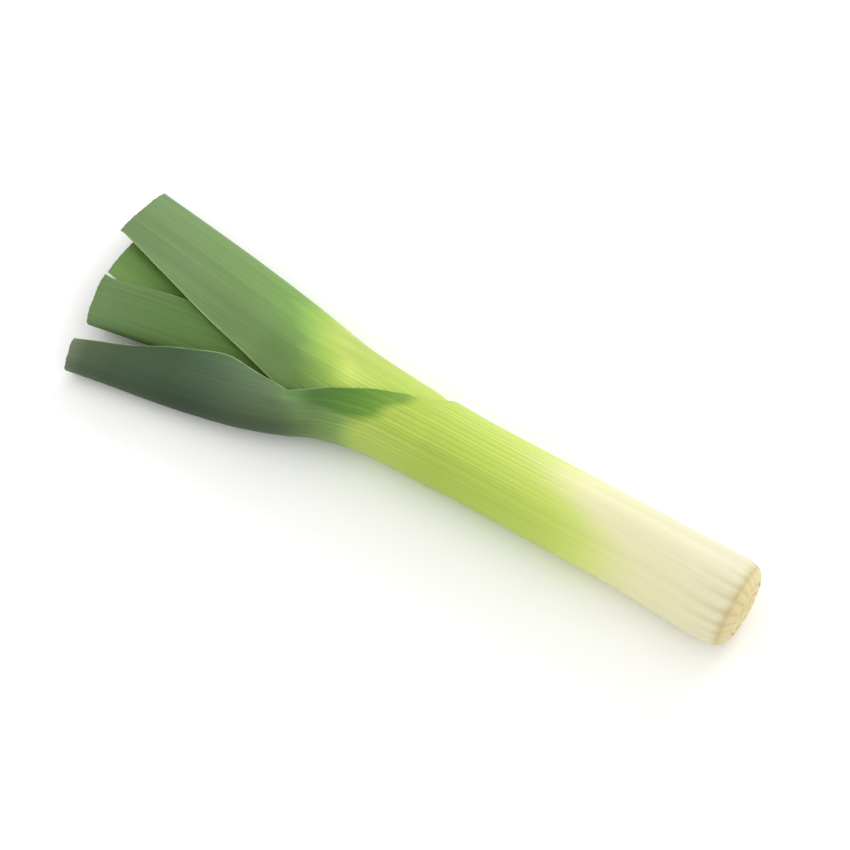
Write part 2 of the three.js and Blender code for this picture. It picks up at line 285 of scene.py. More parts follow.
# Columns: station, keel y, keel z, then half width, half height and wrap in front,
# then half width, half height and wrap behind. side is 1 for a keel on the camera's
# side and -1 for one on the far side. start, mouth and end are stations, and solid_to
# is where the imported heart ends. trim is how much longer than end the leaf was cut at
# its front margin, its keel and its back margin.
LEAVES = {
    "leaf_1": dict(
        side=1, start=0.0, mouth=171, end=362, keel_wall=1.7, trim=(0.5, -0.6, 0.0),
        sections=[
            sheath(0, 15.8, FRONT_WRAP, 1, -0.6),
            sheath(1, 17.7, FRONT_WRAP, 1, -0.7),
            sheath(2.5, 19.5, FRONT_WRAP, 1, -0.8, 19.9),
            sheath(5, 21.0, FRONT_WRAP, 1, -1.0, 21.8),
            sheath(10, 21.8, FRONT_WRAP, 1, -1.2, 22.9),
            sheath(17, 21.9, FRONT_WRAP, 1, -1.2, 23.0),
            sheath(29, 21.8, FRONT_WRAP, 1, -1.0, 22.5),
            sheath(65, 21.4, FRONT_WRAP, 1, -0.1),
            sheath(95, SHANK_RADIUS, FRONT_WRAP, 1),
            sheath(150, SHANK_RADIUS, FRONT_WRAP, 1),
            sheath(171, 22.0, FRONT_WRAP, 1),
            [174, -22.1, 20.6, 22.1, 22.1, 146, 22.2, 21.9, 160],
            [177, -22.2, 20.6, 22.2, 22.2, 129, 22.2, 21.7, 144],
            [183, -22.3, 20.6, 22.3, 22.2, 114, 22.4, 21.4, 134],
            [197, -22.6, 20.4, 22.5, 21.9, 100, 22.5, 20.7, 132],
            [228, -27.6, 17.5, 28.8, 25.0, 66, 25.2, 17.0, 100],
            [243, -33.6, 14.6, 30.1, 26.7, 58.6, 28.4, 13.9, 91],
            [247, -35.0, 14.0, 29.6, 27.0, 57, 29.0, 13.6, 90],
            [251, -36.5, 13.4, 32.8, 26.7, 58, 29.6, 13.1, 89],
            [267, -41.4, 11.5, 40.1, 25.0, 63, 32.2, 11.2, 85],
            [285, -45.3, 10.0, 46.0, 24.3, 66, 31.0, 9.6, 85],
            [306, -49.2, 9.0, 48.4, 25.2, 60, 29.8, 8.6, 85],
            [345, -55.0, 7.8, 37.7, 21.0, 52, 27.4, 7.5, 85],
            [363, -58.0, 7.2, 31.2, 17.5, 52, 26.3, 7.3, 85],
        ]),
    "leaf_2": dict(
        side=-1, start=INNER_START, mouth=195, end=377, keel_wall=1.7,
        trim=(3.2, 0.0, 0.0),
        sections=[
            sheath(INNER_START, SHANK_RADIUS - SHEATH_STEP, INNER_WRAP, -1),
            sheath(160, SHANK_RADIUS - SHEATH_STEP, INNER_WRAP, -1),
            sheath(171, 19.0, INNER_WRAP, -1),
            [177, 20.1, 20.8, 19.5, 18.6, 170, 19.5, 18.0, 190],
            [184, 22.1, 21.0, 20.5, 18.5, 170, 20.5, 17.6, 190],
            [195, 23.0, 20.8, 20.8, 18.5, 170, 20.8, 17.1, 190],
            [228, 27.6, 19.3, 23.8, 16.8, 140, 23.3, 16.4, 140],
            [245, 31.9, 18.1, 30.7, 14.8, 128, 30.2, 14.8, 120],
            [262, 36.3, 17.0, 47.7, 13.0, 97, 45.4, 13.2, 95],
            [307, 45.1, 15.5, 58.2, 10.0, 80, 54.5, 13.0, 80],
            [378, 56.1, 14.0, 48.7, 9.0, 75, 40.6, 14.5, 78],
        ]),
    "leaf_3": dict(
        side=1, start=INNER_START, mouth=211, end=366, keel_wall=1.6,
        trim=(6.5, -0.8, 0.0),
        sections=[
            sheath(INNER_START, SHANK_RADIUS - 2 * SHEATH_STEP, INNER_WRAP, 1),
            sheath(160, SHANK_RADIUS - 2 * SHEATH_STEP, INNER_WRAP, 1),
            [176, -16.0, 20.6, 16.0, 15.8, 170, 16.0, 14.9, 190],
            [184, -16.0, 20.6, 16.0, 15.4, 170, 16.0, 14.1, 190],
            [195, -16.0, 20.6, 16.0, 15.0, 170, 16.0, 13.7, 190],
            [211, -15.8, 20.2, 15.8, 14.7, 170, 15.8, 13.5, 190],
            [220, -15.8, 19.7, 16.8, 13.8, 160, 16.8, 13.0, 170],
            [231, -15.8, 19.2, 18.1, 13.0, 150, 18.1, 12.5, 150],
            [262, -19.0, 17.3, 26.1, 8.4, 110, 26.1, 9.8, 110],
            [324, -25.0, 14.0, 31.2, 8.5, 85, 30.7, 8.4, 85],
            [367, -31.5, 12.0, 33.5, 8.0, 78, 32.2, 7.4, 78],
        ]),
    "leaf_4": dict(
        side=-1, start=INNER_START, mouth=215, end=374, keel_wall=1.5,
        trim=(-1.0, 0.0, 0.0), solid_to=207,
        sections=[
            sheath(INNER_START, SHANK_RADIUS - 3 * SHEATH_STEP, INNER_WRAP, -1),
            sheath(160, SHANK_RADIUS - 3 * SHEATH_STEP, INNER_WRAP, -1),
            [176, 13.4, 20.6, 13.4, 13.0, 170, 13.4, 12.1, 190],
            [184, 13.4, 20.6, 13.4, 12.4, 170, 13.4, 11.3, 190],
            [195, 13.3, 20.4, 13.3, 11.8, 170, 13.3, 10.8, 190],
            [215, 13.2, 19.9, 13.1, 10.8, 170, 13.1, 10.8, 190],
            [237, 15.6, 18.7, 13.8, 7.6, 145, 13.8, 7.6, 145],
            [262, 20.0, 17.0, 22.0, 4.4, 110, 22.0, 5.2, 110],
            [324, 30.0, 15.0, 42.5, 3.6, 88, 38.3, 4.0, 78],
            [374, 37.5, 14.6, 48.0, 3.4, 80, 43.0, 3.8, 64],
        ]),
}
print("sections per leaf:", {name: len(leaf["sections"]) for name, leaf in LEAVES.items()})

# %% [markdown]
# ## Reading a table between its rows
#
# Straight lines between rows would leave a crease at every row, and an ordinary
# spline swings past its points, which on a sheath only 0.5 mm clear of the next one
# is enough to push one through the other. A cubic whose slopes are the harmonic mean
# of the slopes on each side stays smooth and never overshoots.

# %% Smooth cubic that never overshoots
def along(table, column, station):
    """Cubic Hermite through the rows; inner slopes are weighted harmonic means."""
    x = np.array([row[0] for row in table], float)
    y = np.array([row[column] for row in table], float)
    gap = np.diff(x)
    slope = np.diff(y) / gap
    before, after = slope[:-1], slope[1:]
    w1, w2 = 2 * gap[1:] + gap[:-1], gap[1:] + 2 * gap[:-1]
    same_way = before * after > 0
    safe_b = np.where(same_way, before, 1.0)
    safe_a = np.where(same_way, after, 1.0)
    inner = np.where(same_way, (w1 + w2) / (w1 / safe_b + w2 / safe_a), 0.0)
    tangent = np.concatenate([[0.0], inner, [slope[-1]]])
    s = np.clip(station, x[0], x[-1])
    i = np.clip(np.searchsorted(x, s, side="right") - 1, 0, len(x) - 2)
    h = gap[i]
    t = (s - x[i]) / h
    return (y[i] * (2 * t**3 - 3 * t**2 + 1) + h * tangent[i] * (t**3 - 2 * t**2 + t)
            + y[i + 1] * (3 * t**2 - 2 * t**3) + h * tangent[i + 1] * (t**3 - t**2))


def smooth(value, low, high):
    """0 below low, 1 above high, 3t^2 - 2t^3 between."""
    t = np.clip((value - low) / (high - low), 0, 1)
    return t * t * (3 - 2 * t)


print("shank radius at 0, 11 and 90 mm:",
      [round(float(along(LEAVES["leaf_1"]["sections"], 4, s)), 1) for s in (0, 11, 90)])

# %% [markdown]
# ## The leaf surface
#
# The surface is a function of two numbers: the station along the leek and the share
# of the way round, from -1 at the back margin through 0 at the keel to +1 at the
# front margin. The inner face is the same function a wall's thickness further in.
# A blade thins from its keel to its margins and ends in a rounded lip, so the wall
# shrinks in a quarter circle over the last 0.8 mm, to 15 percent.

# %% Points of a leaf
MARGIN_WALL = 0.85
LIP, LIP_EDGE = 0.8, 0.15
SPLIT_BLEND = 60


def wall_of(leaf, station, share):
    """Sheath wall up to the mouth, then a blend over 60 mm to a wall that thins evenly
    from keel to margin, times a quarter circle over the lip from 8 mm past the mouth."""
    split = smooth(station, leaf["mouth"], leaf["mouth"] + SPLIT_BLEND)
    blade = leaf["keel_wall"] + (MARGIN_WALL - leaf["keel_wall"]) * np.abs(share)
    wall = SHEATH_WALL + (blade - SHEATH_WALL) * split
    half = along(leaf["sections"], 3, station)
    turn = np.radians(along(leaf["sections"], 5, station))
    to_margin = np.clip((1 - np.abs(share)) * half * turn / LIP, 0, 1)
    lip = np.sqrt(1 - (1 - to_margin) ** 2) * (1 - LIP_EDGE) + LIP_EDGE
    opened = smooth(station, leaf["mouth"] + 1, leaf["mouth"] + 8)
    return wall * (1 + (lip - 1) * opened)


def leaf_point(leaf, station, share, inner=False):
    """y = keel + side * (depth + (a - depth)(1 - cos t)), z = keel +- (b - depth) sin t,
    where t is the share of the wrap and depth is 0 outside and the wall inside."""
    table = leaf["sections"]
    front = share >= 0
    a = np.where(front, along(table, 3, station), along(table, 6, station))
    b = np.where(front, along(table, 4, station), along(table, 7, station))
    wrap = np.radians(np.where(front, along(table, 5, station), along(table, 8, station)))
    depth = wall_of(leaf, station, share) if inner else 0.0
    t = np.abs(share) * wrap
    y = along(table, 1, station) + leaf["side"] * (depth + (a - depth) * (1 - np.cos(t)))
    z = along(table, 2, station) + np.where(front, 1, -1) * (b - depth) * np.sin(t)
    return np.stack([-station, y, z], -1)


probe = leaf_point(LEAVES["leaf_1"], np.array([90.0]), np.array([0.5]))
print("a point on the shank's top:", probe.round(1).tolist())

# %% [markdown]
# ## Where the grid lines go
#
# Detail needs points. The gathered skin at the root end gets two rows a millimetre and
# everything above the mouth about one, while the parts of the inner sheaths that nobody
# sees get one every ten. Across the leaf the columns crowd towards the two margins,
# where the lip is round. The knife's cut isn't quite straight, so the last rows lean
# with it.

# %% Stations and shares
BLADE_STEP = 1.15
LEAN, NICKED = 45, 3


def stations_of(leaf):
    """Rows of the outer leaf: 0.5 mm apart to 30 mm, then 1.7 and 1.2 mm to the mouth.
    Of the others: 11 or 12 mm apart, and 1.5 mm over the last 12. Blades: BLADE_STEP."""
    if leaf["start"] == 0:
        low = np.concatenate([np.linspace(0, 30, 56)[:-1], np.linspace(30, 165, 80)[:-1]])
        low = np.concatenate([low, np.linspace(165, 171, 6)[:-1]])
    else:
        low = np.linspace(leaf["start"], leaf["mouth"] - 12, 17)
        low = np.concatenate([low, np.linspace(low[-1], leaf["mouth"], 9)[1:-1]])
    count = int((leaf["end"] - leaf["mouth"]) / BLADE_STEP)
    return np.concatenate([low, np.linspace(leaf["mouth"], leaf["end"], count)])


def shares_of(columns):
    """From -1 to 1, crowded at both ends: 0.85 (1.5 u - 0.5 u^3) + 0.15 u."""
    u = np.linspace(-1, 1, columns + 1)
    return 0.85 * (1.5 * u - 0.5 * u**3) + 0.15 * u


def leaned(leaf, rows, shares):
    """The grid of stations: over the last 45 mm it leans to the cut's slant and two slow
    waves, and over the last 3 mm to finer nicks."""
    front, keel, back = leaf["trim"]
    v = shares[None, :]
    slant = np.where(v >= 0, keel + (front - keel) * v, keel - (back - keel) * v)
    ragged = 0.25 * np.sin(7 * v + 1.3) + 0.15 * np.sin(17 * v)
    nicks = 0.10 * np.sin(61 * v + 3 * np.sin(9 * v)) + 0.07 * np.sin(137 * v)
    near = smooth(rows[:, None], leaf["end"] - LEAN, leaf["end"])
    tip = smooth(rows[:, None], leaf["end"] - NICKED, leaf["end"])
    return rows[:, None] + near * (slant + ragged) + tip * nicks


rows_1 = stations_of(LEAVES["leaf_1"])
print("rows on the outer leaf:", len(rows_1), "spacing from",
      round(float(np.diff(rows_1).min()), 2), "to", round(float(np.diff(rows_1).max()), 2))

# %% [markdown]
# ## Following a fibre
#
# The fibres of a leek's leaf run beside the keel, at the same distance from it all the
# way. The share of the way round isn't that distance, because the blade widens. So each
# column's distance over the surface is added up from the keel and divided by the
# sheath's radius. On the closed sheath that is a true angle, which meets itself at the
# seam, and along the blade it goes on as the same fibres.

# %% Angle of every fibre
def fibre_angle(outer, mouth):
    """Distance from the keel over the surface, divided by the sheath's radius there, and
    above the mouth by its radius at the mouth."""
    step = np.linalg.norm(np.diff(outer, axis=1), axis=-1)
    run = np.concatenate([np.zeros((len(outer), 1)), np.cumsum(step, axis=1)], axis=1)
    girth = np.where(np.arange(len(outer)) < mouth, run[:, -1], run[mouth, -1])
    keel = outer.shape[1] // 2
    return (run - run[:, [keel]]) * 2 * np.pi / girth[:, None]


ring = np.linspace(-np.pi, np.pi, 101)
circle = np.stack([0 * ring, np.cos(ring), np.sin(ring)], -1)[None].repeat(2, axis=0)
print("a circle's ends are at angles", fibre_angle(circle, 1)[0, [0, -1]].round(2))

# %% [markdown]
# ## Relief
#
# Smooth ellipses look like plastic. A real sheath is gathered where it meets the root
# plate, in grooves of uneven length that run out within 34 mm. It has long low ribs
# from the bundles of fibre in it, and a blade waves slightly along its margins. The
# outer blade also has a soft dent before the crease where it folds over, and a low
# ridge just past it. The outer and inner faces move together, which keeps the wall's
# thickness. One sine gives a rib or groove as often round the leaf as its factor says.

# %% Height of the relief, in millimetres
GATHER_DEPTH, WRINKLE_DEPTH, DENT_DEPTH = 0.95, 0.22, 0.9
CREASE_AT_MARGIN, CREASE_SWEEP, CREASE_REACH = 247, 36, 0.64


def crease_station(share):
    """Where the outer blade folds over: 247 mm at the margin, and earlier towards the
    keel by 36 mm times ((1 - share) / 0.64) to the power of 2.4, at most 36 mm."""
    inward = np.clip((1 - np.abs(share)) / CREASE_REACH, 0, 1)
    return CREASE_AT_MARGIN - CREASE_SWEEP * inward ** 2.4


def gathers(station, angle):
    """0 to 1: 23 cubed waves round the root end, faded by (1 - station / reach) ** 1.2.
    Reach is 12 to 34 mm, and most 50 degrees in front of the keel and opposite that."""
    facing = np.sin(2 * angle - 0.2)
    reach = 23 + 7 * facing + 4 * np.sin(9 * angle + 2.0)
    fade = np.clip(1 - station / reach, 0, 1) ** 1.2
    waves = (0.5 + 0.5 * np.sin(23 * angle + 1.3 * np.sin(3 * angle) + 0.02 * station)) ** 3
    return fade * waves * (0.72 + 0.28 * facing)


def relief(name, leaf, station, share, angle):
    """Ribs from 12 mm up, plus waves on the blade by share ** 4, and on the outer leaf
    minus the gathers, the fine wrinkles between them and the dent, a Gaussian 7 mm
    before the crease less 0.7 of one 2 mm past it."""
    ribs = (0.05 * np.sin(19 * angle + 1.2 * np.sin(2 * angle))
            + 0.05 * np.sin(31 * angle + 1.7) + 0.09 * np.sin(7 * angle + 0.6))
    blade = smooth(station, leaf["mouth"] + 10, leaf["mouth"] + 90)
    height = ribs * smooth(station, 12, 40) * (1 - 0.4 * blade)
    edge = np.abs(share) ** 4
    height = height + blade * edge * (0.22 * np.sin(station / 9.0 + 2 * share)
                                      + 0.10 * np.sin(station / 4.1 + 1))
    if name == "leaf_1":
        fine = (0.5 + 0.5 * np.sin(47 * angle + 2 * np.sin(3 * angle))) ** 2
        shallow = 0.4 + 0.6 * smooth(station, 0, 4)
        height = height - GATHER_DEPTH * shallow * gathers(station, angle)
        height = height - WRINKLE_DEPTH * shallow * fine * np.clip(1 - station / 16, 0, 1)
        past = station - crease_station(share)
        dent = np.exp(-((past + 7) / 6.5) ** 2) - 0.7 * np.exp(-((past - 2) / 3.0) ** 2)
        height = height - DENT_DEPTH * dent * smooth(share, 0.40, 0.85)
    return height


def outward(points, side):
    """Unit normals of a grid: the cross product of its two gradients."""
    down = np.gradient(points, axis=0)
    across = np.gradient(points, axis=1)
    normal = np.cross(across, down) * side
    return normal / np.maximum(np.linalg.norm(normal, axis=-1, keepdims=True), 1e-9)


turn = np.linspace(-np.pi, np.pi, 400)
print("gathers at 1, 10 and 20 mm are up to", [round(float(gathers(s, turn).max()), 2)
                                               for s in (1.0, 10.0, 20.0)])

# %% [markdown]
# ## Where the colours change
#
# A leek greens from its leaves down, and not evenly. On the shank the ridge that faces
# up, between the keel and the seam, stays cream longest, partly in its own colour and
# partly as a painted highlight. On the outer blade a lush green comes after the lime near
# the margin, and past the crease the wax takes over with its blue-grey. Each is a smooth
# step in the station, moved along by the share, and is worked out here once for every
# point, so that the materials stay simple.

# %% Greening, lush green and wax
def colour_places(name, station, share):
    """Greening is the station in mm plus what a place is ahead of the pale ridge. Lush
    green goes from 0 to 1 over 20 mm. Wax does so over 24 mm at the keel, and over 8 mm
    and 44 mm later at the margin."""
    v = np.abs(share)
    lush = wax = np.zeros_like(station)
    if name == "leaf_1":
        # the ridge that faces up stays cream longest: partly its own colour, partly a painted
        # highlight
        greening = station + 36 * (1 - smooth(v, 0.25, 0.65)) + 14 * smooth(v, 0.8, 1.0)
        start = 191 - 12 * smooth(v, 0.65, 0.95)
        lush = smooth(station, start, start + 20) * smooth(v, 0.32, 0.66)
        edge = smooth(v, 0.42, 0.96)
        wax = smooth(station, 200 + 44 * edge, 224 + 28 * edge)
    elif name == "leaf_2":
        # the keel stays a little paler: partly its own colour, partly a painted highlight
        greening = station + 32 * smooth(v, 0.35, 0.95) - 12 * (1 - smooth(v, 0.0, 0.2))
    else:
        greening = station + 10 * v
    return np.stack([greening, lush, wax], -1)


print("greening at 100 mm at the keel and on the ridge:",
      colour_places("leaf_1", np.array([100.0, 100.0]), np.array([0.0, 0.68]))[:, 0].round(0))

# %% [markdown]
# ## Painted light and shade, and where the veins show
#
# Light and shade are painted into the colour here, as a brightness by which it is
# multiplied. The shank has painted shade on its lower side and a little painted light on
# its top. The outer blade has painted shade on the side tucked under it, painted light
# near its margin, a painted highlight along its crease and painted shade just before it.
# The second blade has painted shade beside its margins, and painted light on its lime
# part. Veins start where the green does, and fade on the blades under the wax. Both are
# numbers for every point, as the greening is.

# %% Painted light and shade, and veins
CREASE_HIGHLIGHT_AT_KEEL, CREASE_HIGHLIGHT_SLANT = 227, 19


def painted_shading_and_veins(name, station, share):
    """Painted light and shade as a brightness, 1 plus or minus smooth steps, plus a painted
    highlight, a Gaussian 6 mm wide along a line by the crease, less painted shade, one 9 mm
    before it, and how strongly the veins show, 0 to 1."""
    v = np.abs(share)
    lines = smooth(station, 85, 130) * (1 - 0.55 * smooth(station, 215, 245))
    painted_shading = np.ones_like(station)
    if name == "leaf_1":
        # painted shade on the shank's lower side, and a little painted light on its top
        shank = smooth(station, 75, 110) * (1 - smooth(station, 165, 200))
        painted_shading = 1 + shank * (0.05 - 0.16 * (1 - smooth(v, 0.15, 0.5)))
        # on the blade: painted shade on the tucked-under side, painted light near the margin
        blade = smooth(station, 228, 250)
        painted_under_shade = (0.48 - 0.24 * smooth(station, 290, 325)) * (1 - smooth(v, 0.2, 0.72))
        painted_margin_light = 0.34 * smooth(v, 0.70, 0.93) * (1 - smooth(station, 275, 315))
        # a painted highlight along the crease, and painted shade 9 mm before it near the margin
        past = station - CREASE_HIGHLIGHT_AT_KEEL - CREASE_HIGHLIGHT_SLANT * v
        painted_crease_shading = 0.26 * smooth(v, 0.3, 0.5) * np.exp(-(past / 6) ** 2)
        painted_crease_shading = painted_crease_shading - 0.17 * smooth(v, 0.6, 0.9) * np.exp(-((past + 9) / 5) ** 2)
        painted_shading = painted_shading + blade * (painted_margin_light - painted_under_shade) + painted_crease_shading
        lines = lines * (0.4 + 0.6 * smooth(v, 0.2, 0.4) * (1 - smooth(v, 0.72, 0.9)))
    elif name == "leaf_2":
        # painted shade beside the margins, where the outer leaf and the fold shade the second
        # blade
        front = (0.24 * smooth(station, 220, 242)
                 + 0.13 * smooth(station, 238, 252) * (1 - smooth(station, 266, 288)))
        painted_shading = 1 - smooth(v, 0.5, 0.85) * (front - 0.15 * smooth(station, 290, 340))
        # painted light on the lime part of the second blade, below about 240 mm
        painted_shading = painted_shading + 0.2 * smooth(v, 0.42, 0.68) * (1 - smooth(station, 226, 242))
    return painted_shading, lines


print("brightness at 260 mm at the keel and near the margin:",
      painted_shading_and_veins("leaf_1", np.array([260.0, 260.0]), np.array([0.0, 0.93]))[0].round(2))

# %% [markdown]
# ## From two grids to one closed body
#
# The outer and inner grids are joined by a ring at the root end, a strip at the
# knife's cut, and a strip along each margin above the mouth. Below the mouth the
# first and last columns are the same line, so they share their points and the sheath
# is a true tube. The innermost leaf has no hollow low down, because the heart of a
# leek is packed full. A soft stem also sags flat where it rests, so no point goes below
# the table.

# %% Both faces of a leaf
FLOOR_CLEARANCE = 0.4


def leaf_faces(name, leaf, station, share):
    """Outer and inner grids in mm, each the leaf's surface plus relief along its normal
    and no lower than the table, then the fibres' angles and the number of the mouth's row."""
    outer = leaf_point(leaf, station, share)
    mouth = int(np.searchsorted(station[:, 0], leaf["mouth"] - 1e-6))
    angle = fibre_angle(outer, mouth)
    height = relief(name, leaf, station, share, angle)
    if name != "leaf_1":
        # hidden sheaths stay plain, so that they keep clear of each other
        height = height * smooth(station, leaf["mouth"] - 10, leaf["mouth"] + 20)
    move = outward(outer, leaf["side"]) * height[..., None]
    inner = leaf_point(leaf, station, share, True) + move
    outer = outer + move
    outer[..., 2] = np.maximum(outer[..., 2], 0.0)
    inner[..., 2] = np.maximum(inner[..., 2], FLOOR_CLEARANCE)
    return outer, inner, angle, mouth


coarse = np.meshgrid(rows_1, shares_of(40), indexing="ij")
two_faces = leaf_faces("leaf_1", LEAVES["leaf_1"], *coarse)[:2]
print("lowest points of its two faces:", [float(face[..., 2].min()) for face in two_faces])

# %% Closed leaf mesh
FIBRE_RADIUS = 20


def strip(a, b, c, d):
    """Quads from four equal arrays of corner numbers."""
    return np.stack([a, b, c, d], -1).reshape(-1, 4)


def leaf_mesh(name, leaf, columns):
    """Points, quads, tip triangles and attributes of one leaf. The fibre attribute is
    (station, 20 cos angle, 20 sin angle) in mm, a tube on which noise has no seam."""
    shares = shares_of(columns)
    station = leaned(leaf, stations_of(leaf), shares)
    share = np.broadcast_to(shares[None, :], station.shape)
    outer, inner, angle, mouth = leaf_faces(name, leaf, station, share)
    first = mouth if "solid_to" in leaf else 0

    n, m = station.shape
    out = np.arange(n * m).reshape(n, m)
    ins = np.arange((n - first) * m).reshape(n - first, m) + n * m
    # up to the mouth the last column is the first one
    out[:mouth + 1, -1] = out[:mouth + 1, 0]
    ins[:mouth + 1 - first, -1] = ins[:mouth + 1 - first, 0]
    # outer face, inner face, knife's cut, then the two margins
    quads = [
        strip(out[:-1, :-1], out[1:, :-1], out[1:, 1:], out[:-1, 1:]),
        strip(ins[:-1, 1:], ins[1:, 1:], ins[1:, :-1], ins[:-1, :-1]),
        strip(out[-1, :-1], ins[-1, :-1], ins[-1, 1:], out[-1, 1:]),
        strip(out[mouth:-1, 0], ins[mouth - first:-1, 0], ins[mouth - first + 1:, 0],
              out[mouth + 1:, 0]),
        strip(out[mouth + 1:, -1], ins[mouth - first + 1:, -1], ins[mouth - first:-1, -1],
              out[mouth:-1, -1]),
    ]
    points = [outer.reshape(-1, 3), inner[first:].reshape(-1, 3)]
    tips = []
    if first:
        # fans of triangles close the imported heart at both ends
        points.append(np.array([[-leaf["start"], 0, AXIS_HEIGHT],
                                [-leaf["solid_to"], 0, AXIS_HEIGHT - 0.6]]))
        base = np.full(m - 1, n * m + (n - first) * m)
        tips = [np.stack([base, out[0, :-1], out[0, 1:]], -1),
                np.stack([base + 1, ins[0, 1:], ins[0, :-1]], -1)]
    else:
        quads.append(strip(out[0, 1:], ins[0, 1:], ins[0, :-1], out[0, :-1]))
    quads = np.concatenate(quads)
    if leaf["side"] < 0:
        quads = quads[:, ::-1]
        tips = [tip[:, ::-1] for tip in tips]

    fibre = np.stack([station, FIBRE_RADIUS * np.cos(angle), FIBRE_RADIUS * np.sin(angle)], -1)
    groove = gathers(station, angle) if name == "leaf_1" else np.zeros_like(station)
    place = np.stack([station, share, angle], -1)
    # tone holds painted light and shade, vein strength and grooves for every point
    tone = np.stack([*painted_shading_and_veins(name, station, share), groove], -1)
    both = {"fibre": fibre, "place": place, "tint": colour_places(name, station, share),
            "tone": tone}
    spare = np.zeros((2 if first else 0, 3))
    attributes = {key: np.concatenate([grid.reshape(-1, 3), grid[first:].reshape(-1, 3), spare])
                  for key, grid in both.items()}
    return np.concatenate(points), quads, tips, attributes


sample = strip(*(np.arange(3) + k for k in range(4)))
print("a strip of three quads:", sample.tolist())

# %% An object from points and faces
def piece_from(name, points, quads, tips=(), attributes=None):
    """A smooth-shaded object whose mesh holds only the points that its faces use."""
    used = np.unique(np.concatenate([quads.ravel()] + [tip.ravel() for tip in tips]))
    new_index = np.full(len(points), -1)
    new_index[used] = np.arange(len(used))
    faces = new_index[quads].tolist()
    for tip in tips:
        faces += new_index[tip].tolist()
    mesh = bpy.data.meshes.new(name)
    mesh.from_pydata(to_frame(points[used]), [], faces)
    for key, values in (attributes or {}).items():
        layer = mesh.attributes.new(key, "FLOAT_VECTOR", "POINT")
        layer.data.foreach_set("vector", np.ascontiguousarray(values[used], np.float32).ravel())
    mesh.polygons.foreach_set("use_smooth", np.ones(len(mesh.polygons), bool))
    mesh.update()
    piece = bpy.data.objects.new(name, mesh)
    bpy.context.collection.objects.link(piece)
    return piece


COLUMNS = {"leaf_1": 132, "leaf_2": 108, "leaf_3": 100, "leaf_4": 92}
fine = {}
for name, leaf in LEAVES.items():
    fine[name] = piece_from("fine_" + name, *leaf_mesh(name, leaf, COLUMNS[name]))
    print(name, "has", len(fine[name].data.polygons), "faces")

# %% [markdown]
# ## The root plate
#
# Where the roots were cut off, the disc of stem shows as a tan, slightly domed face.
# Old sheath bases leave rings on it that aren't quite round. A profile turned about
# the shank's axis gives the disc, and waves in its height give the rings. Its rim goes
# on into the shank for 8 mm, out of sight behind the outer sheath.

# %% Turned disc with rings
PLATE_PROFILE = np.array([
    (0.0, -1.45), (6.0, -1.25), (10.5, -0.75), (12.9, -0.3), (13.6, 0.2), (15.3, 1.1),
    (17.2, 3.2), (17.9, 5.4), (18.2, 8.0),
])
RING_RADIAN = 0.42      # mm of radius per radian of the ring wave: a ring every 2.6 mm
RING_HEIGHT, LUMP_HEIGHT = 0.07, 0.12


def root_plate_mesh(rows=70, around=120):
    """Profile radius r and depth x turned about the axis. Within 12.5 mm x gets ridges,
    sin(r / 0.42 + waves round the disc), which run as broken arcs, and lumps."""
    length = np.concatenate([[0], np.cumsum(np.hypot(*np.diff(PLATE_PROFILE, axis=0).T))])
    t = np.linspace(0, length[-1], rows)
    r = np.interp(t, length, PLATE_PROFILE[:, 0])[:, None]
    x = np.interp(t, length, PLATE_PROFILE[:, 1])[:, None]
    turn = np.linspace(0, 2 * np.pi, around, endpoint=False)[None, :]
    face = 1 - smooth(r, 12.5, 14.0)
    arcs = np.sin(r / RING_RADIAN + 1.5 * np.sin(2 * turn + 0.5) + 0.8 * np.sin(5 * turn))
    lumps = np.sin(9 * turn + r)
    x = x + face * smooth(r, 1.0, 3.0) * (RING_HEIGHT * arcs + LUMP_HEIGHT * lumps)
    y = r * np.cos(turn) * (1 + 0.012 * np.sin(3 * turn)) + PLATE_SHIFT
    z = r * np.sin(turn) * (1 + 0.012 * np.sin(3 * turn)) + AXIS_HEIGHT
    grid = np.stack([-x + 0 * turn, y, z], -1)[1:]
    n = len(grid)
    index = np.arange(n * around).reshape(n, around)
    nxt = np.roll(index, -1, axis=1)
    quads = strip(index[:-1], index[1:], nxt[1:], nxt[:-1])
    poles = [[-depth, PLATE_SHIFT, AXIS_HEIGHT] for depth in PLATE_PROFILE[[0, -1], 1]]
    points = np.concatenate([grid.reshape(-1, 3), poles])
    tip = np.full(around, n * around)
    tips = [np.stack([tip, index[0], nxt[0]], -1), np.stack([tip + 1, nxt[-1], index[-1]], -1)]
    return points, quads, tips


points, quads, tips = root_plate_mesh()
fine["root_plate"] = piece_from("fine_root_plate", points, quads, tips)
print("root plate has", len(fine["root_plate"].data.polygons), "faces")

# %% [markdown]
# ## Leaf skin
#
# Leaf skin is living tissue under a film of wax. The shank never saw the sun, so it
# is cream white, and the green comes in over a hand's breadth: cream, pale yellow,
# lime, then grass green, and at last a blue-grey green where the wax is thickest. The
# colour follows the leaf, not the room, so it is read from attributes on the mesh. A
# picture wrapped round the leaf could do it too, but colour ramps set out in
# millimetres along a leaf of 400 mm are easier to correct.

# %% A colour ramp along the leaf
RAMP_LENGTH = 400.0


def station_ramp(tree, station, stops, length=RAMP_LENGTH):
    """A colour ramp over 0 to length in mm, looked up at the station / length."""
    part = add(tree, "Math", {0: station}, {1: 1 / length}, operation="MULTIPLY")
    ramp = add(tree, "ValToRGB", {"Fac": part})
    return fill_ramp(ramp, stops, length)


print("10 mm of leaf is", 10 / RAMP_LENGTH, "of a ramp")

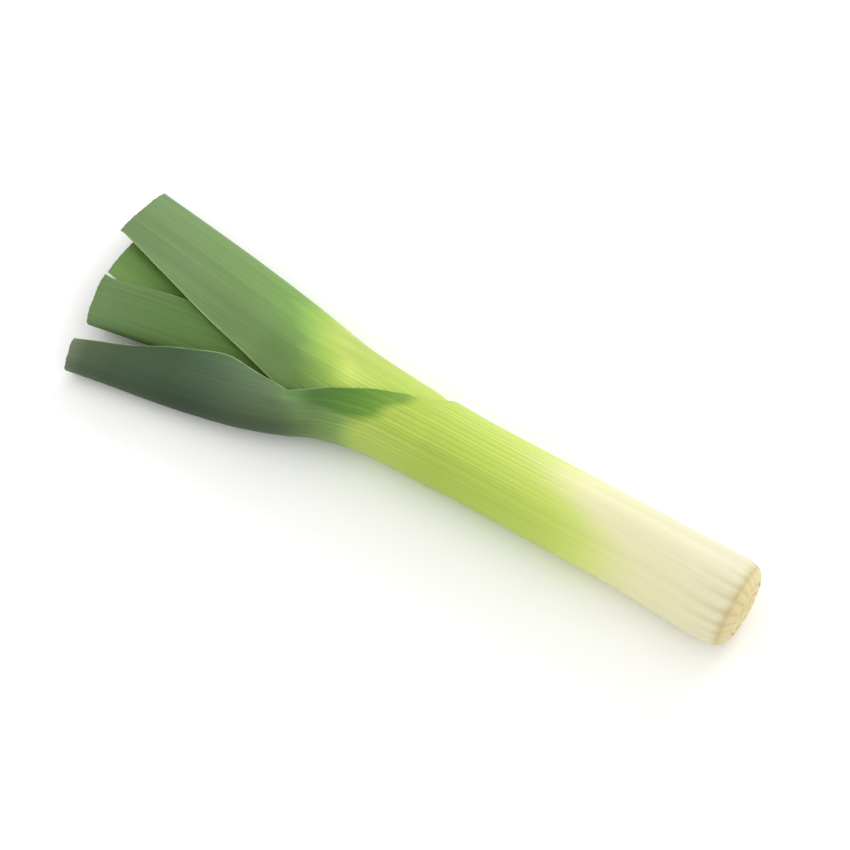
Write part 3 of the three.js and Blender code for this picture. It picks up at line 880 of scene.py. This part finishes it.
# %% [markdown]
# ## Streaks, fibres and veins
#
# A leaf grows from its foot, so all its pattern runs along it. Noise that is stretched
# 26 times and more along the fibres gives broad streaks, which push the greening forth
# and back, and narrow uneven fibres. Veins are bundles of vessels, lines 2.3 mm apart:
# a sine of the fibre's angle, made to waver by the streaks and to fade by the fibres.
# They show in colour and as bump. A wave texture would do for straight lines, but it
# couldn't follow the fibres round the shank.

# %% Streaks, fibres and veins
STREAK_SCALE = (0.0065, 0.17, 0.17)     # per mm: about 6 mm wide and 150 mm long
FIBRE_SCALE = (0.006, 0.45, 0.45)       # per mm: about 2 mm wide and 170 mm long
VEINS_ROUND = 57


def stretched_noises(tree, fibre, seed):
    """Two noises of the fibre attribute times a scale per mm: streaks, uneven fibres."""
    long = add(tree, "Mapping", {"Vector": fibre},
               {"Scale": STREAK_SCALE, "Location": (seed, seed, 0.0)})
    streak = add(tree, "TexNoise", {"Vector": long},
                 {"Detail": 2.0, "Roughness": 0.4, "Scale": 1.0})
    narrow = add(tree, "Mapping", {"Vector": fibre},
                 {"Scale": FIBRE_SCALE, "Location": (0.0, seed, 3.0)})
    uneven = add(tree, "TexNoise", {"Vector": narrow},
                 {"Detail": 2.0, "Roughness": 0.5, "Scale": 1.0})
    return streak, uneven


def veins(tree, angle, lined, waver, patchy):
    """The positive half of sin(57 angle + waver), times patchy, times lined."""
    turn = add(tree, "Math", {0: angle, 2: waver}, {1: VEINS_ROUND}, operation="MULTIPLY_ADD")
    wave = add(tree, "Math", {0: turn}, operation="SINE")
    sharp = add(tree, "MapRange", {"Value": wave})
    vein = add(tree, "Math", {0: sharp, 1: patchy}, operation="MULTIPLY")
    return add(tree, "Math", {0: vein, 1: lined}, operation="MULTIPLY")


print("veins are %.2f mm apart on the shank" % (2 * np.pi * SHANK_RADIUS / VEINS_ROUND))

# %% [markdown]
# ## Colour of the skin
#
# Three ramps lie over one another: pale to green, lush green and wax. The streaks break
# up the borders between them. Then the painted light and shade, the veins and the fibres
# are multiplied in, hardly at all on the cream of the shank.

# %% Greens, wax, fibres and veins in colour
STREAK_MM = 26.0        # how far a streak moves the greening from end to end


def skin_colour(tree, ramps, places, noises, vein, line_depth):
    """Ramps blended by their parts, times the painted light and shade, 1 - line_depth * vein,
    and the fibres' and streaks' 5 and 6 percent. Returns it, and the greening with streaks."""
    station, greening, lush_part, wax_part, painted_shading = places
    streak, uneven = noises
    # streaks move the greening, but a third as far on the shank's cream
    push = add(tree, "MapRange", {"Value": streak},
               {"To Min": -STREAK_MM / 2, "To Max": STREAK_MM / 2})
    calm = add(tree, "MapRange", {"Value": station},
               {"From Min": 60.0, "From Max": 130.0, "To Min": 0.35})
    push = add(tree, "Math", {0: push, 1: calm}, operation="MULTIPLY")
    green = add(tree, "Math", {0: greening, 1: push}, operation="ADD")
    # the three ramps, with borders that the streaks make ragged
    pale_to_green, lush, wax = ramps
    colour = station_ramp(tree, green, pale_to_green)
    ragged = add(tree, "MapRange", {"Value": streak},
                 {"From Min": 0.3, "From Max": 0.7, "To Min": -0.18, "To Max": 0.18})
    for part, ramp in ((lush_part, lush), (wax_part, wax)):
        if ramp:
            moved = add(tree, "Math", {0: part, 1: ragged}, operation="ADD")
            kept = add(tree, "MapRange", {"Value": moved}, {"From Min": 0.2, "From Max": 0.8})
            over = station_ramp(tree, station, ramp)
            colour = add(tree, "Mix", {0: kept, 6: colour, 7: over},
                         data_type="RGBA").outputs[2]

    # fibres are lighter and darker lines, fainter on the cream, and veins are dark ones
    greenness = add(tree, "MapRange", {"Value": green},
                    {"From Min": 90.0, "From Max": 200.0, "To Min": 0.4})
    fibres = add(tree, "MapRange", {"Value": uneven},
                 {"From Min": 0.36, "From Max": 0.64, "To Min": 0.95, "To Max": 1.05})
    broad = add(tree, "MapRange", {"Value": streak},
                {"From Min": 0.3, "From Max": 0.7, "To Min": 0.94, "To Max": 1.06})
    shade = add(tree, "Math", {0: fibres, 1: broad}, operation="MULTIPLY")
    shade = add(tree, "Mix", {0: greenness, 3: shade}, {2: 1.0}, data_type="FLOAT")
    line = add(tree, "MapRange", {"Value": vein}, {"To Min": 1.0, "To Max": 1 - line_depth})
    shade = add(tree, "Math", {0: shade, 1: line}, operation="MULTIPLY")
    # painted light and shade multiply the colour here
    shade = add(tree, "Math", {0: shade, 1: painted_shading}, operation="MULTIPLY")
    colour = add(tree, "VectorMath", {0: colour, "Scale": shade}, operation="SCALE")
    return colour, green


print("a streak moves the greening by up to", STREAK_MM / 2, "mm either way")

# %% [markdown]
# ## Dry and thin places
#
# Where the sheath was cut from the roots it has dried to tan, with a browner line
# 4 mm up, and the grooves of the gathers are made darker and browner. A blade's margin
# is too thin for much green, so it is a pale line.

# %% Tan at the root end and pale margins
CUT_LENGTH = 10.0
CUT_TAN = [(0, "#DACA94"), (2.6, "#D6C58E"), (4.2, "#BCA873"), (6.0, "#C6B787")]
GATHER_TAN, MARGIN_PALE = "#BBB08A", "#A9C07A"


def dry_and_thin(tree, colour, station, share, groove, waver, patchy, margin_depth):
    """Tan over the colour to 3 mm, gone at 8, moved by half of waver; gather tan by up
    to 0.6 in the grooves; then a pale line past a share of 0.984, above the mouth."""
    reach = add(tree, "Math", {0: waver, 2: station}, {1: 0.5}, operation="MULTIPLY_ADD")
    end = add(tree, "MapRange", {"Value": reach},
              {"From Min": 3.2, "From Max": 8.0, "To Min": 0.95, "To Max": 0.0})
    cut = station_ramp(tree, station, CUT_TAN, CUT_LENGTH)
    colour = add(tree, "Mix", {0: end, 6: colour, 7: cut}, data_type="RGBA").outputs[2]
    hollow = add(tree, "MapRange", {"Value": groove}, {"From Max": 0.8, "To Max": 0.6})
    colour = add(tree, "Mix", {0: hollow, 6: colour}, {7: linear(GATHER_TAN)},
                 data_type="RGBA").outputs[2]
    margin = add(tree, "Math", {0: share}, operation="ABSOLUTE")
    thin = add(tree, "MapRange", {"Value": margin},
               {"From Min": 0.984, "From Max": 0.996, "To Max": margin_depth})
    above = add(tree, "MapRange", {"Value": station}, {"From Min": 172.0, "From Max": 190.0})
    lip = add(tree, "Math", {0: thin, 1: above}, operation="MULTIPLY")
    lip = add(tree, "Math", {0: lip, 1: patchy}, operation="MULTIPLY")
    return add(tree, "Mix", {0: lip, 6: colour}, {7: linear(MARGIN_PALE)},
               data_type="RGBA").outputs[2]


print("pale margins in linear light:", [round(c, 3) for c in linear(MARGIN_PALE)])

# %% [markdown]
# ## The finished skin
#
# Wax gives the skin a soft satin gloss, a little more in some streaks than in others.
# Its index of refraction is close to that of plant wax. Veins are grooves a few tenths
# of a millimetre deep, so bump is enough for them, and on the shank they are faint.

# %% Waxy leaf skin
SKIN_IOR, SKIN_SPECULAR = 1.42, 0.3
GLOSS_SPREAD = 0.06
BUMP_DEPTH = 0.0003


def leaf_skin(name, stops, roughness, seed, lush=None, wax=None, line_depth=0.08,
              margin_depth=0.3):
    """Colour, bump of fibres less veins, and roughness plus or minus 0.06 by streaks.
    stops, lush and wax are ramps in mm, and the seed gives a leaf streaks of its own."""
    material, tree, shader = new_material(name)
    fibre, place, tint, tone = (
        add(tree, "Attribute", attribute_name=key).outputs["Vector"]
        for key in ("fibre", "place", "tint", "tone"))
    station, share, angle = add(tree, "SeparateXYZ", {"Vector": place}).outputs
    greening, lush_part, wax_part = add(tree, "SeparateXYZ", {"Vector": tint}).outputs
    # the first part of the tone is painted light and shade
    painted_shading, lined, groove = add(tree, "SeparateXYZ", {"Vector": tone}).outputs

    # veins waver by almost half their spacing either way, and are patchy
    streak, uneven = stretched_noises(tree, fibre, seed)
    waver = add(tree, "MapRange", {"Value": streak},
                {"From Min": 0.2, "From Max": 0.8, "To Min": -3.0, "To Max": 3.0})
    patchy = add(tree, "MapRange", {"Value": uneven},
                 {"From Min": 0.35, "From Max": 0.6, "To Min": 0.25})
    vein = veins(tree, angle, lined, waver, patchy)
    colour, green = skin_colour(tree, (stops, lush, wax),
                                (station, greening, lush_part, wax_part, painted_shading),
                                (streak, uneven), vein, line_depth)
    colour = dry_and_thin(tree, colour, station, share, groove, waver, patchy, margin_depth)
    tree.links.new(colour, shader.inputs["Base Color"])

    height = add(tree, "Math", {0: uneven, 1: vein}, operation="SUBTRACT")
    strength = add(tree, "MapRange", {"Value": green},
                   {"From Min": 60.0, "From Max": 220.0, "To Min": 0.1, "To Max": 0.45})
    bump = add(tree, "Bump", {"Height": height, "Strength": strength},
               {"Distance": BUMP_DEPTH})
    tree.links.new(bump.outputs[0], shader.inputs["Normal"])
    gloss = add(tree, "MapRange", {"Value": streak},
                {"From Min": 0.3, "From Max": 0.7, "To Min": roughness - GLOSS_SPREAD,
                 "To Max": roughness + GLOSS_SPREAD})
    tree.links.new(gloss.outputs[0], shader.inputs["Roughness"])
    shader.inputs["IOR"].default_value = SKIN_IOR
    shader.inputs["Specular IOR Level"].default_value = SKIN_SPECULAR
    return material


print("bump is up to %.1f mm deep" % (BUMP_DEPTH * 1000))

# %% [markdown]
# ## One skin for each leaf
#
# The outer leaf saw the most sun: its green starts lowest, and its wax is thickest. The
# younger the leaf, the fresher its green. The base colours are darker than they look,
# because the bright world lights them from all sides.

# %% Four leaf skins
outer_skin = leaf_skin(
    "leek_skin_outer_leaf",
    [(0, "#D4CEB1"), (35, "#D7D2B2"), (88, "#D7D5A7"), (103, "#D0D290"), (118, "#C1CF70"),
     (133, "#BBCB5F"), (163, "#B0C755"), (195, "#A8BE4D"), (225, "#A6BA53"), (260, "#9CB351")],
    0.42, 1.0,
    lush=[(196, "#759A3A"), (212, "#5C852D"), (226, "#4D732C"), (247, "#4E6B3B")],
    wax=[(212, "#7E9C51"), (232, "#5C7641"), (252, "#566B46"), (272, "#4E6344"),
         (290, "#41573C"), (308, "#384F33"), (338, "#3D5135"), (354, "#4B5C3E"),
         (362, "#6A765C")],
    line_depth=0.19, margin_depth=0.55)
second_skin = leaf_skin(
    "leek_skin_second_leaf",
    [(0, "#D0CE93"), (150, "#C2CE69"), (200, "#AFC556"), (232, "#ABBE5C"), (244, "#B1C35E"),
     (254, "#A4BF54"), (266, "#8CB152"), (280, "#74994D"), (300, "#709250"), (330, "#6F8D53"),
     (365, "#6F8A58")],
    0.45, 5.0)
third_skin = leaf_skin(
    "leek_skin_third_leaf",
    [(0, "#E0D8B5"), (185, "#C1C96E"), (220, "#94AC4A"), (250, "#668639"), (290, "#567833"),
     (330, "#57773B"), (352, "#5B7844"), (370, "#637E4D")],
    0.45, 9.0)
inner_skin = leaf_skin(
    "leek_skin_innermost_leaf",
    [(0, "#E6DAC0"), (200, "#DCD87B"), (250, "#87A149"), (300, "#5F8438"), (345, "#597E36"),
     (376, "#648543")],
    0.42, 13.0)
SKINS = {"leaf_1": outer_skin, "leaf_2": second_skin, "leaf_3": third_skin,
         "leaf_4": inner_skin}
for name, skin in SKINS.items():
    fine[name].data.materials.append(skin)
print("skins:", [skin.name for skin in SKINS.values()])

# %% [markdown]
# ## Cut stem
#
# The cut face has dried for a few days: firm cream tissue gone tan, with darker
# broken rings where the sheaths joined. It is matt, and its rings are worked out from
# the distance to the shank's axis, so they are a distorted ring wave on Object
# coordinates, centred by a Mapping node. A ring wave turns once in 0.314 of its scaled
# distance, so 62 per metre sets the rings 5 mm apart. The noise has patches of 4 mm.
# Rings in the colour alone would look printed, so the mesh has low ridges too.

# %% Cut stem material
RING_SCALE, MOTTLE_SCALE = 62.0, 260.0
STEM_ROUGHNESS = 0.72

stem, tree, shader = new_material("dried_cut_leek_stem")
place = add(tree, "TexCoord").outputs["Object"]
centre = to_frame([0.0, PLATE_SHIFT, AXIS_HEIGHT])
centred = add(tree, "Mapping", {"Vector": place},
              {"Location": (-centre[0], -centre[1], -centre[2])})
mottle = add(tree, "TexNoise", {"Vector": centred},
             {"Scale": MOTTLE_SCALE, "Detail": 5.0, "Roughness": 0.6})
rings = add(tree, "TexWave", {"Vector": centred},
            {"Scale": RING_SCALE, "Distortion": 6.0, "Detail": 3.0, "Detail Scale": 1.2},
            wave_type="RINGS", rings_direction="X")
ring_tone = fill_ramp(add(tree, "ValToRGB", {"Fac": rings.outputs["Fac"]}),
                      [(0.0, "#CDBB82"), (0.35, "#D7C78F"), (1.0, "#DECF9C")])
stem_tone = add(tree, "MapRange", {"Value": mottle},
                {"From Min": 0.3, "From Max": 0.7, "To Min": 0.86, "To Max": 1.08})
stem_colour = add(tree, "VectorMath",
                  {0: ring_tone, "Scale": stem_tone}, operation="SCALE")
tree.links.new(stem_colour.outputs[0], shader.inputs["Base Color"])
stem_bump = add(tree, "Bump", {"Height": mottle},
                {"Strength": 0.5, "Distance": 0.0004})
tree.links.new(stem_bump.outputs[0], shader.inputs["Normal"])
shader.inputs["Roughness"].default_value = STEM_ROUGHNESS
fine["root_plate"].data.materials.append(stem)
print("stem material:", stem.name)

# %% [markdown]
# ## Putting the pieces in the frame
#
# Each fine piece takes the place of the plain solid of the same name.

# %% Ride and replace
for name, piece in fine.items():
    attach(piece, "root")
    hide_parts(name)
print("placed:", [piece.name for piece in fine.values()])

# %% The end
print("scene built")
